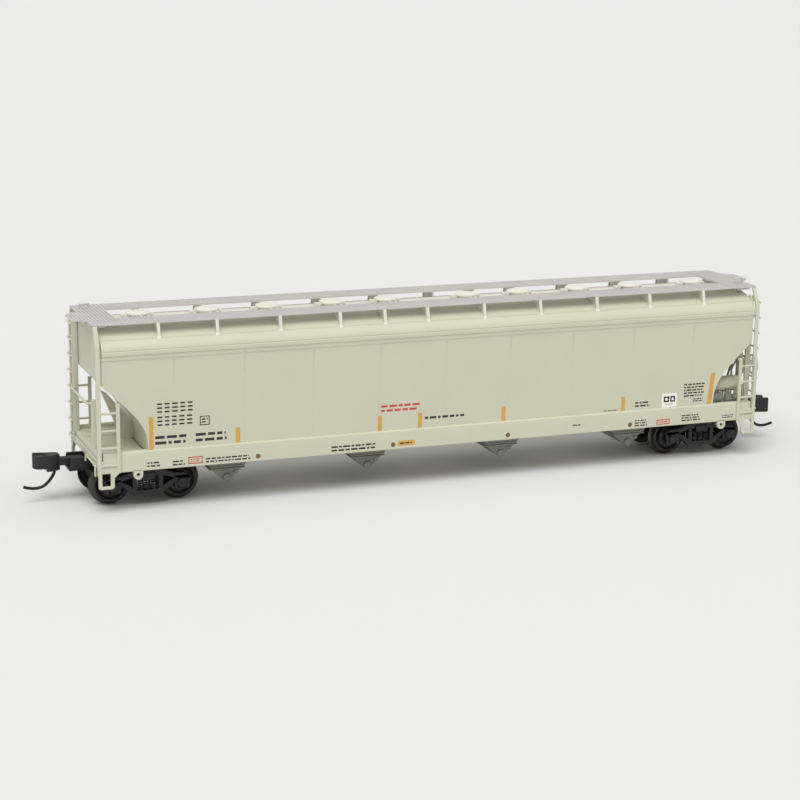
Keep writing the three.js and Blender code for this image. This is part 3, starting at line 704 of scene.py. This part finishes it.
def outlet(x):
    parts = [
        frustum(x, (4.1, 5.9, 6.7), (2.85, 5.2, 4.75)),
        frustum(x, (4.2, 6.0, 6.7), (3.95, 5.85, 6.3)),
        block((x - 2.95, -5.4, 4.7), (x + 2.95, 5.4, 4.92)),
        block((x - 2.75, -5.2, 4.5), (x + 2.75, 5.2, 4.75)),
        block((x - 2.95, -5.45, 4.42), (x + 2.95, 5.45, 4.56)),
        prism([(x - 2.6, 4.45), (x - 0.75, 2.7), (x - 0.5, 2.6), (x + 0.5, 2.6), (x + 0.75, 2.7),
               (x + 2.6, 4.45)],
              "y", -5.0, 5.0),
    ]
    for side in (-1, 1):
        profile = [(0.01, 4.7), (0.58, 4.7), (0.58, 5.1), (0.65, 5.1), (0.65, 5.36), (0.55, 5.4), (0.5, 5.34),
                   (0.01, 5.34)]
        parts.append(lathe(profile, (x, 0, 2.97), (0, side, 0), 28))
        stub = [(0.01, 4.7), (0.36, 4.7), (0.36, 5.15), (0.28, 5.2), (0.01, 5.2)]
        parts.append(lathe(stub, (x - 1.5 * side, 0, 3.75), (0, side, 0), 16))
        for half in (-2.5, -1.3, 1.3, 2.5):
            bolt = [(0.01, 0), (0.16, 0), (0.16, 0.14), (0.01, 0.16)]
            parts.append(lathe(bolt, (x + half, side * 5.28, 4.9), (0, 0, 1), 6))
    return combine(*parts)


for number, x in enumerate(OUTLETS, 1):
    piece(f"discharge_outlet_{number}", outlet(x), OUTLET,
          stands_for=[f"outlet_gate_{number}"], bevel=0.05, smooth=35)


# ---- couplers ----
PIVOT = centre("coupler_screw_b")
BOX_LOW, BOX_HIGH = node_box("coupler_box_b")


def coupler_box():
    x0, x1, half, z0, z1 = BOX_LOW.x, BOX_HIGH.x, BOX_HIGH.y, BOX_LOW.z, BOX_HIGH.z
    floor = [block((x0, -half, z0), (x1, half, z0 + 0.45))]
    walls = [prism([(x0, z0 + 0.3), (x1, z0 + 0.3), (x1 - 0.3, z1), (x0, z1)], "y", y, y + 0.33)
             for y in (-half, half - 0.33)]
    back = block((x0, -half + 0.1, z0 + 0.3), (x0 + 0.35, half - 0.1, z1))
    lip = block((x1 - 0.35, -half, z0 - 0.02), (x1, half, z0 + 0.2))
    post = lathe([(0.55, z0 + 0.3), (0.8, z0 + 0.3), (0.8, z1), (0.55, z1)], (PIVOT.x, 0, 0), (0, 0, 1), 24)
    return combine(*floor, *walls, back, lip, post)


def screw():
    low = node_box("coupler_screw_b")[0].z
    head = lathe([(0.01, low + 0.12), (0.25, low + 0.12), (0.3, low), (0.72, low), (0.88, low + 0.14),
                  (0.9, BOX_LOW.z), (0.42, BOX_LOW.z + 0.02), (0.42, 8.5), (0.01, 8.6)],
                 (PIVOT.x, 0, 0), (0, 0, 1), 28)
    return head


HEAD = [
    (62.0, -0.63), (62.95, -1.05), (63.9, -1.13), (64.86, -1.37), (65.81, -1.6), (66.0, -1.47), (65.98, -1.3),
    (65.14, -0.95), (64.52, -0.6), (64.14, -0.21), (64.02, 0.21), (64.19, 0.6), (64.19, 1.33), (63.52, 1.33),
    (62.67, 1.02), (62.0, 0.63),
]
KNUCKLE = [
    (64.1, 0.5), (64.3, 0.72), (64.52, 0.81), (64.69, 0.67), (64.67, 0.35), (64.9, 0.24), (65.5, 0.22),
    (65.88, 0.35), (66.0, 0.6), (66.0, 1.0), (65.78, 1.22), (65.2, 1.35), (64.1, 1.33),
]


def rounded_plate(outline, middle, z0, z1):
    """A plate in X and Y whose top and bottom edges are drawn in a little."""
    rings = []
    for z, k in ((z0, 0.94), (z0 + 0.12, 1), (z1 - 0.12, 1), (z1, 0.94)):
        rings.append([(middle.x + (x - middle.x) * k, middle.y + (y - middle.y) * k, z) for x, y in outline])
    return loft(rings)


def coupler():
    head = rounded_plate(HEAD, Vector((64.0, 0)), 5.25, 7.85)
    knuckle = rounded_plate(KNUCKLE, Vector((65.0, 0.8)), 5.76, 7.82)
    shank = prism(rounded(57.9, 62.4, -0.68, 0.68, 0.2), "z", 5.97, 7.13)
    eye = lathe([(0.95, 5.97), (1.23, 5.97), (1.23, 7.13), (0.95, 7.13)], (PIVOT.x, 0, 0), (0, 0, 1), 28)
    pin = lathe([(0.01, 5.8), (0.26, 5.8), (0.26, 7.84), (0.01, 7.84)], (64.6, 1.0, 0), (0, 0, 1), 18)
    return combine(head, knuckle, shank, eye, pin)


def trip_pin():
    path = [(62.85, 5.4), (62.8, 5.0), (62.95, 4.5), (63.35, 3.85), (63.9, 3.2), (64.55, 2.7), (65.3, 2.45),
            (66.2, 2.4), (67.05, 2.55), (67.78, 2.75)]
    dense = []
    for i in range(len(path) - 1):
        p = [Vector(path[max(0, min(len(path) - 1, k))]) for k in (i - 1, i, i + 1, i + 2)]
        for step in range(4):
            t = step / 4
            dense.append(0.5 * ((2 * p[1]) + (p[2] - p[0]) * t
                                + (2 * p[0] - 5 * p[1] + 4 * p[2] - p[3]) * t * t
                                + (3 * p[1] - p[0] - 3 * p[2] + p[3]) * t ** 3))
    dense.append(Vector(path[-1]))
    return tube([(p.x, 0, p.y) for p in dense], 0.25, 12)


for end in ("a", "b"):
    piece(f"coupler_pocket_{end}", at_end(end, coupler_box()), BLACK,
          stands_for=[f"coupler_box_{end}"], bevel=0.05)
    piece(f"coupler_bolt_{end}", at_end(end, screw()), STEEL,
          stands_for=[f"coupler_screw_{end}"], smooth=30)
    piece(f"knuckle_coupler_{end}", at_end(end, coupler()), BLACK, body=f"coupler_{end}",
          stands_for=[f"coupler_{end}"], smooth=38)
    piece(f"trip_wire_{end}", at_end(end, trip_pin()), STEEL, body=f"coupler_{end}",
          stands_for=[f"trip_pin_{end}"], smooth=60)


# ---- trucks ----
WHEELBASE = (centre("axle_b_outer") - centre("axle_b_inner")).x
FRAME_Y = (5.85, 6.95)


def spring(x, y, low, high, radius, wire, turns):
    steps = turns * 12
    path = []
    for i in range(steps + 1):
        t = 2 * math.pi * i / 12
        path.append((x + radius * math.cos(t), y + radius * math.sin(t), low + (high - low) * i / steps))
    return tube(path, wire, 6)


def side_frame():
    """The +Y side frame, drawn about the truck's own centre."""
    y0, y1 = FRAME_Y
    top = [(0, 5.8), (2.5, 5.75), (4.3, 5.05), (6.0, 4.95), (6.9, 4.4), (6.9, 3.9), (5.0, 4.1), (4.2, 4.25),
           (2.4, 4.85), (0, 4.9)]
    bottom = [(0, 2.55), (1.9, 2.6), (3.0, 3.5), (4.2, 4.2), (4.6, 3.7), (3.5, 2.85), (2.35, 1.8), (0, 1.7)]
    parts = []
    for outline in (top, bottom):
        full = outline + [(-x, z) for x, z in reversed(outline) if x != 0]
        parts.append(loft([[(x, y, z) for x, z in ring] for y, ring in strip_rings(full, y0, y1)]))
    for s in (-1, 1):
        low, high = sorted((s * 1.75, s * 2.45))
        parts.append(block((low, y0 + 0.1, 2.2), (high, y1 - 0.05, 5.2)))
        jaw = [(4.3, 4.6), (4.35, 2.5), (4.75, 2.3), (4.85, 3.0), (6.25, 3.0), (6.35, 2.3), (6.75, 2.5),
               (6.85, 4.6)]
        parts.append(prism([(s * x, z) for x, z in jaw], "y", y0 + 0.1, y1))
        cap = [(0.01, y1 - 0.3), (0.8, y1 - 0.3), (0.8, y1 + 0.2), (0.72, y1 + 0.32), (0.3, y1 + 0.36),
               (0.26, y1 + 0.3), (0.01, y1 + 0.3)]
        parts.append(lathe(cap, (s * WHEELBASE / 2, 0, AXLE_Z), (0, 1, 0), 28))
        for k in range(3):
            t = math.radians(90 + 120 * k)
            bolt = [(0.01, y1 + 0.3), (0.13, y1 + 0.3), (0.13, y1 + 0.4), (0.01, y1 + 0.4)]
            place = (s * WHEELBASE / 2 + 0.52 * math.cos(t), 0, AXLE_Z + 0.52 * math.sin(t))
            parts.append(lathe(bolt, place, (0, 1, 0), 6))
    for x in (-1.05, 0, 1.05):
        parts.append(spring(x, (y0 + y1) / 2, 2.55, 4.35, 0.4, 0.13, 5))
    return combine(*parts)


def strip_rings(outline, y0, y1):
    """The outline at both faces, a little smaller at the outer one so that its edges are rounded."""
    middle_x = sum(p[0] for p in outline) / len(outline)
    middle_z = sum(p[1] for p in outline) / len(outline)
    small = [(x + (middle_x - x) * 0.012, z + (middle_z - z) * 0.06) for x, z in outline]
    return [(y0, outline), (y1 - 0.12, outline), (y1, small)]


def truck_frame():
    end_y = FRAME_Y[1] + 0.25
    bolster = loft([[(x * k, y, z) for x, z in ((-1.35, 4.35), (1.35, 4.35), (1.35, 5.35), (-1.35, 5.35))]
                    for y, k in ((-end_y, 0.85), (-5.2, 1), (5.2, 1), (end_y, 0.85))])
    bowl = lathe([(1.1, 5.3), (1.9, 5.3), (1.9, 6.0), (1.8, 6.12), (1.1, 6.12)], (0, 0, 0), (0, 0, 1), 36)
    beams = []
    for s in (-1, 1):
        beams.append(tube([(s * 2.2, -5.0, 3.1), (s * 1.75, -3.2, 3.1), (s * 1.75, 3.2, 3.1),
                           (s * 2.2, 5.0, 3.1)], 0.28, 8))
        for y in (-4.6, 4.6):
            shoe = [(s * 2.05, 2.3), (s * 2.5, 2.35), (s * 2.38, 3.4), (s * 2.5, 4.4), (s * 2.05, 4.4)]
            beams.append(prism(shoe, "y", y - 0.5, y + 0.5))
    return combine(side_frame(), mirror_y(side_frame()), bolster, bowl, *beams)


def truck_pin():
    low, high = node_box("truck_pin_b")
    return lathe([(0.01, low.z + 0.1), (0.5, low.z + 0.1), (0.6, low.z), (1.5, low.z), (1.75, low.z + 0.25),
                  (1.75, low.z + 0.65), (0.95, low.z + 0.7), (0.95, high.z), (0.01, high.z)],
                 (0, 0, 0), (0, 0, 1), 32)


def axle():
    half = node_box("axle_b_outer")[1].y
    steps = [(0.01, -half), (0.36, -half), (0.4, -half + 0.08), (0.4, -5.6), (0.6, -5.5), (0.6, -3.6),
             (0.52, -3.2), (0.5, -1.5)]
    profile = steps + [(r, -y) for r, y in reversed(steps)]
    return lathe(profile, (0, 0, AXLE_Z), (0, 1, 0), 28)


def wheel(side):
    back, face = 3.85, 5.35
    rim = [(0.6, back - 0.15), (1.05, back - 0.15), (1.2, back - 0.02), (2.0, back + 0.3),
           (2.45, back + 0.05), (FLANGE_R - 0.08, back), (FLANGE_R, back + 0.1),
           (FLANGE_R - 0.04, back + 0.26)]
    tread = [(FLANGE_R - 0.04, back + 0.26), (TREAD_R + 0.1, back + 0.44), (TREAD_R, back + 0.62),
             (TREAD_R - 0.03, face - 0.08), (TREAD_R - 0.1, face)]
    front = [(TREAD_R - 0.1, face), (2.36, face), (2.28, face - 0.08), (1.9, face - 0.42),
             (1.35, face - 0.36), (1.1, face - 0.1), (1.05, face), (0.6, face)]
    return [wheel_band(part, side) for part in (rim, tread, front)]


WHEEL_SIDES = 64


def wheel_band(profile, side):
    sides = WHEEL_SIDES
    rings = [[(r * math.cos(t), side * y, AXLE_Z + r * math.sin(t))
              for t in (2 * math.pi * k / sides for k in range(sides))] for r, y in profile]
    return loft(rings, closed_ends=False)


def moved(shape, x):
    points, faces = shape
    return [Vector((p[0] + x, p[1], p[2])) for p in points], faces


for end in ("a", "b"):
    truck_x = TRUCK[end].x
    piece(f"truck_sides_{end}", moved(at_end(end, truck_frame()), truck_x), BLACK, body=f"truck_{end}",
          stands_for=[f"truck_frame_{end}"], bevel=0.05, smooth=38)
    piece(f"truck_kingpin_{end}", moved(truck_pin(), truck_x), BLACK,
          stands_for=[f"truck_pin_{end}"])
    for place in ("outer", "inner"):
        name = f"axle_{end}_{place}"
        axle_x = centre(name).x
        piece(f"axle_bar_{end}_{place}", moved(axle(), axle_x), BLACK, body=f"wheelset_{end}_{place}",
              stands_for=[name])
        for hand in ("left", "right"):
            node = f"wheel_{end}_{place}_{hand}"
            back, tread, front = (moved(band, axle_x) for band in wheel(1 if centre(node).y > 0 else -1))
            piece(f"wheel_disc_{end}_{place}_{hand}", back, STEEL, body=f"wheelset_{end}_{place}",
                  stands_for=[node], smooth=50,
                  extra=[(tread, TREAD), (front, STEEL)])


# ---- brake gear ----
def tank(x0, x1, y, z, radius, dome):
    cap = [(0.01, 0), (0.5 * radius, 0.08 * dome), (0.8 * radius, 0.3 * dome), (0.95 * radius, 0.62 * dome),
           (radius, dome)]
    profile = [(r, x0 + d) for r, d in cap] + [(r, x1 - d) for r, d in reversed(cap)]
    return lathe(profile, (0, y, z), (1, 0, 0), 48)


def band(x, width, y, z, radius):
    return lathe([(radius - 0.05, x), (radius + 0.07, x), (radius + 0.07, x + width),
                  (radius - 0.05, x + width)],
                 (0, y, z), (1, 0, 0), 48)


def reservoir():
    return combine(
        tank(51.2, 56.6, -6.4, 12.5, 1.3, 0.6),
        band(52.0, 0.12, -6.4, 12.5, 1.3), band(55.1, 0.3, -6.4, 12.5, 1.3),
        block((52.95, -7.6, 11.3), (53.35, -5.2, 11.6)),
        block((52.95, -7.6, DECK_TOP), (53.35, -7.3, 11.5)),
        block((52.95, -5.4, DECK_TOP), (53.35, -5.1, 11.5)), block((54.6, -6.8, DECK_TOP), (55.1, -6, 11.6)),
    )


def cylinder():
    return combine(
        tank(50.6, 52.6, -7.35, 10.3, 0.95, 0.3), band(51.9, 0.25, -7.35, 10.3, 0.95),
        block((51.2, -7.65, DECK_TOP - 0.1), (52.0, -7.05, 9.8)),
    )


def valve():
    return combine(
        prism(rounded(53.2, 54.4, -8.3, -7.1, 0.2), "z", DECK_TOP, 10.9),
        prism(rounded(53.05, 54.55, -8.42, -7.0, 0.2), "z", 9.9, 10.2),
        lathe([(0.01, 10.8), (0.42, 10.8), (0.42, 11.45), (0.3, 11.6), (0.01, 11.6)], (53.8, -7.7, 0),
              (0, 0, 1), 20),
        tank(54.6, 56.2, -7.9, 10.2, 0.62, 0.2),
    )


def rigging():
    """Rods, brackets and the ribbed guard that fill the brake end behind the side ladder."""
    rods = [
        tube([(56.2, -4.2, 9.2), (55.4, -4.6, 13.2), (56.4, -4.9, 17.4)], 0.2),
        tube([(56.9, -3.4, 9.2), (56.9, -3.4, 19.6)], 0.16),
        tube([(54.2, -3.0, 13.0), (57.0, -4.2, 17.6)], 0.18),
        tube([(53.0, -2.4, 11.2), (56.8, -2.4, 18.8)], 0.22),
        tube([(55.2, -6.0, 14.6), (57.1, -6.2, 18.2)], 0.16),
        tube([(57.0, -5.2, 13.3), (57.0, -2.2, 11.4), (57.0, -2.2, 9.3)], 0.14),
    ]
    guard = []
    for i in range(5):
        guard.append(block((55.4 + 0.34 * i, -8.2, DECK_TOP), (55.58 + 0.34 * i, -7.0, 12.3)))
    guard.append(block((55.3, -7.3, DECK_TOP), (57.1, -7.1, 12.2)))
    return combine(*rods), combine(*guard)


def brake_wheel_frame():
    low, high = node_box("brake_gear_case")
    hub = centre("brake_wheel")
    rings = []
    for x, k in ((57.3, 1), (58.05, 1), (58.3, 0.75)):
        rings.append([(x, hub.y + a * k, hub.z + b * k)
                      for a, b in ((-1, -1.3), (1, -1.3), (1, 1.3), (-1, 1.3))])
    case = loft(rings)
    boss = lathe([(0.01, 58.2), (0.7, 58.2), (0.6, high.x), (0.01, high.x)], (0, hub.y, hub.z), (1, 0, 0), 28)
    channel = block((57.0, hub.y - 0.5, low.z), (57.35, hub.y + 0.5, high.z))
    flanges = [block((57.0, hub.y + y, low.z), (57.6, hub.y + y + 0.14, high.z)) for y in (-0.62, 0.48)]
    return combine(case, boss, channel, *flanges)


def brake_wheel():
    low, high = node_box("brake_wheel")
    hub = (low + high) / 2
    outer = (high.z - low.z) / 2
    rim_x = high.x - 0.25
    section = 0.17
    rim = tube([(rim_x, hub.y + (outer - section) * math.cos(t), hub.z + (outer - section) * math.sin(t))
                for t in (2 * math.pi * k / 48 for k in range(48))], section, 12, closed=True)
    spokes = []
    for k in range(5):
        t = math.radians(90 + 72 * k)
        spokes.append(tube([(rim_x - 0.12, hub.y + 0.3 * math.cos(t), hub.z + 0.3 * math.sin(t)),
                            (rim_x - 0.16, hub.y + 0.9 * math.cos(t), hub.z + 0.9 * math.sin(t)),
                            (rim_x, hub.y + (outer - 0.15) * math.cos(t),
                             hub.z + (outer - 0.15) * math.sin(t))],
                           0.12, 8))
    boss = lathe([(0.01, low.x), (0.3, low.x), (0.32, rim_x - 0.2), (0.42, rim_x - 0.1), (0.42, rim_x + 0.08),
                  (0.3, rim_x + 0.17), (0.01, rim_x + 0.18)], (0, hub.y, hub.z), (1, 0, 0), 24)
    return combine(rim, *spokes, boss)


piece("brake_reservoir", reservoir(), PAINT, stands_for=["air_reservoir"], smooth=35)
piece("brake_drum", cylinder(), OUTLET, stands_for=["brake_cylinder"], smooth=35)
piece("brake_valve", valve(), OUTLET, stands_for=["control_valve"], smooth=35)
rods, guard = rigging()
piece("brake_rods", rods, OUTLET, smooth=50)
piece("ribbed_guard", guard, PAINT)
piece("hand_brake_case", brake_wheel_frame(), PAINT, stands_for=["brake_gear_case"],
      bevel=0.04)
piece("hand_brake_wheel", brake_wheel(), PAINT, stands_for=["brake_wheel"], smooth=50)


# ---- printed marks: plain bars and panels, no lettering ----
INK = 0.012


def panel(x0, x1, z0, z1, y=SHEET_Y, lean=0.0):
    """A thin print on the near side. lean shifts the top edge along X."""
    outline = [(x0, z0), (x1, z0), (x1 + lean, z1), (x0 + lean, z1)]
    return prism(outline, "y", -y - INK, -y + 0.05)


def bars(x0, x1, z0, z1, rows, seed, y=SHEET_Y):
    """Rows of short dashes of uneven length, standing for small print."""
    draw = random.Random(seed)
    pitch = (z1 - z0) / rows
    found = []
    for row in range(rows):
        z = z1 - (row + 0.5) * pitch
        half = pitch / 4  # a dash is half as tall as its row
        x = x0
        end = x1 - draw.random() * (x1 - x0) * 0.2
        while x < end - 0.1:
            length = min(end - x, pitch * (0.5 + draw.random() * 1.6))
            found.append(panel(x, x + length, z - half, z + half, y))
            x += length + pitch * 0.4
    return found


def frame_box(x0, x1, z0, z1, line, y=SHEET_Y):
    return [panel(x0, x1, z0, z0 + line, y), panel(x0, x1, z1 - line, z1, y),
            panel(x0, x0 + line, z0, z1, y), panel(x1 - line, x1, z0, z1, y)]


def dot(x, z, radius, y):
    return prism(arc(x, z, radius, radius, 0, 345, 23), "y", -y - INK, -y + 0.05)


def dark_marks():
    draw = random.Random(11)
    found = []
    for low, high in ((15.6, 17.1), (13.5, 15.0)):
        x = -48.7
        while x < -43.0:
            width = 0.62 + 0.3 * draw.random()
            for z in (low, (low + high) / 2 - 0.13, high - 0.26):
                found.append(panel(x, x + width, z, z + 0.26))
            x += width + 0.42
    found += frame_box(-41.9, -40.3, 13.1, 14.6, 0.14)
    found += bars(-41.6, -40.55, 13.4, 14.3, 2, 3)
    found += bars(-49.1, -43.4, 10.3, 12.1, 2, 5) + bars(-42.6, -36.8, 10.3, 12.1, 2, 6)
    found += bars(-4.0, 3.4, 11.0, 11.75, 1, 7)
    found += bars(28.5, 31.3, 9.95, 10.2, 1, 8)
    found += bars(34.5, 37.4, 10.2, 11.3, 2, 9)
    found += bars(43.8, 48.3, 11.3, 13.8, 5, 10) + bars(45.6, 47.8, 10.4, 11.1, 2, 12)
    found += frame_box(39.95, 41.0, 10.75, 11.75, 0.26) + frame_box(41.2, 42.15, 10.75, 11.75, 0.26)
    found += bars(40.3, 41.9, 10.25, 10.5, 1, 13) + bars(-8.4, -6.3, 7.3, 7.75, 1, 14, SILL_Y + 0.012)
    sill = SILL_Y
    for x0, x1, z0, z1, rows, seed in (
            (-41.1, -33.8, 6.95, 7.9, 2, 21), (-50.5, -48.2, 7.0, 8.0, 2, 22),
            (-46.4, -44.4, 6.9, 7.9, 2, 23), (-20.2, -11.2, 6.95, 8.1, 2, 24),
            (22.7, 24.3, 7.9, 8.3, 1, 25), (34.4, 37.2, 6.9, 8.2, 3, 26), (43.4, 47.1, 7.1, 8.4, 3, 27),
            (51.4, 53.6, 7.1, 7.8, 2, 28)):
        found += bars(x0, x1, z0, z1, rows, seed, sill)
    return found


def outlined_panels():
    sill = SILL_Y
    found = frame_box(-43.9, -41.6, 7.05, 8.2, 0.16, sill) + bars(-43.5, -42.0, 7.3, 7.95, 2, 31, sill)
    found += frame_box(38.6, 41.1, 6.95, 7.85, 0.16, sill) + bars(39.0, 40.7, 7.2, 7.6, 1, 32, sill)
    found += bars(-11.6, -4.1, 12.75, 14.2, 2, 33)
    return found


def both_sides(shapes):
    one = moved(combine(*shapes), 0.3)
    return combine(one, half_turn(one))


yellow = [panel(x0, x1, 9.75, z1, lean=lean) for x0, x1, z1, lean in (
    (-50.05, -49.35, 15.0, 0), (-36.1, -35.35, 12.3, 0), (-12.2, -11.5, 12.3, 0), (-5.2, -4.5, 12.3, 0),
    (9.65, 10.4, 12.3, 0), (31.85, 32.55, 12.3, 0), (48.35, 49.2, 15.3, 0.55))]
piece("yellow_bars", both_sides(yellow), YELLOW_INK)
piece("dark_bars", both_sides(dark_marks()), DARK_INK)
piece("red_bars", both_sides(outlined_panels()), RED_INK)
piece("white_square", both_sides([panel(39.6, 42.45, 9.85, 12.25)]), WHITE_INK)
piece("olive_label", both_sides([panel(-8.8, -5.9, 7.1, 7.95, SILL_Y)]), YELLOW_INK)
dots = [dot(x, 7.4, 0.4, SILL_Y) for x in (-32.5, -9.6, 10.8, 33.5)]
piece("brown_dots", both_sides(dots), BROWN_INK)


# ---- CAD pieces that still show keep their shape and take a better finish ----
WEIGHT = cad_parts["steel_weight"]
for holder in WEIGHT.material_slots:
    holder.material = STEEL


# ---- floor and light ----
KEY_STRENGTH = 2.1
KEY_FROM = (-0.25, -0.45, 0.92)
KEY_SOFTNESS = 40
SKY_STRENGTH = 0.6
FLOOR_REACH = 20.0
FLOOR_COLOUR = (0.72, 0.72, 0.715, 1)


def add_floor():
    mesh = bpy.data.meshes.new("floor")
    corners = [(x * FLOOR_REACH, y * FLOOR_REACH, 0) for x, y in ((-1, -1), (1, -1), (1, 1), (-1, 1))]
    mesh.from_pydata(corners, [], [[0, 1, 2, 3]])
    material = bpy.data.materials.new("floor")
    material.use_nodes = True
    shader = material.node_tree.nodes["Principled BSDF"]
    shader.inputs["Base Color"].default_value = FLOOR_COLOUR
    shader.inputs["Roughness"].default_value = 0.7
    shader.inputs["Specular IOR Level"].default_value = 0.2
    mesh.materials.append(material)
    floor = bpy.data.objects.new("floor", mesh)
    scene.collection.objects.link(floor)


def add_sun(name, direction, strength, softness):
    """A distant lamp: direction points from the car to the lamp, softness is its angular size in degrees."""
    data = bpy.data.lights.new(name, "SUN")
    data.energy = strength
    data.angle = math.radians(softness)
    lamp = bpy.data.objects.new(name, data)
    lamp.rotation_mode = "QUATERNION"
    lamp.rotation_quaternion = Vector(direction).to_track_quat("Z", "Y")
    scene.collection.objects.link(lamp)


add_floor()
add_sun("key", KEY_FROM, KEY_STRENGTH, KEY_SOFTNESS)
world = bpy.data.worlds.new("soft_room")
world.use_nodes = True
world.node_tree.nodes["Background"].inputs["Color"].default_value = (1, 1, 1, 1)
world.node_tree.nodes["Background"].inputs["Strength"].default_value = SKY_STRENGTH
scene.world = world
scene.view_settings.view_transform = "Standard"
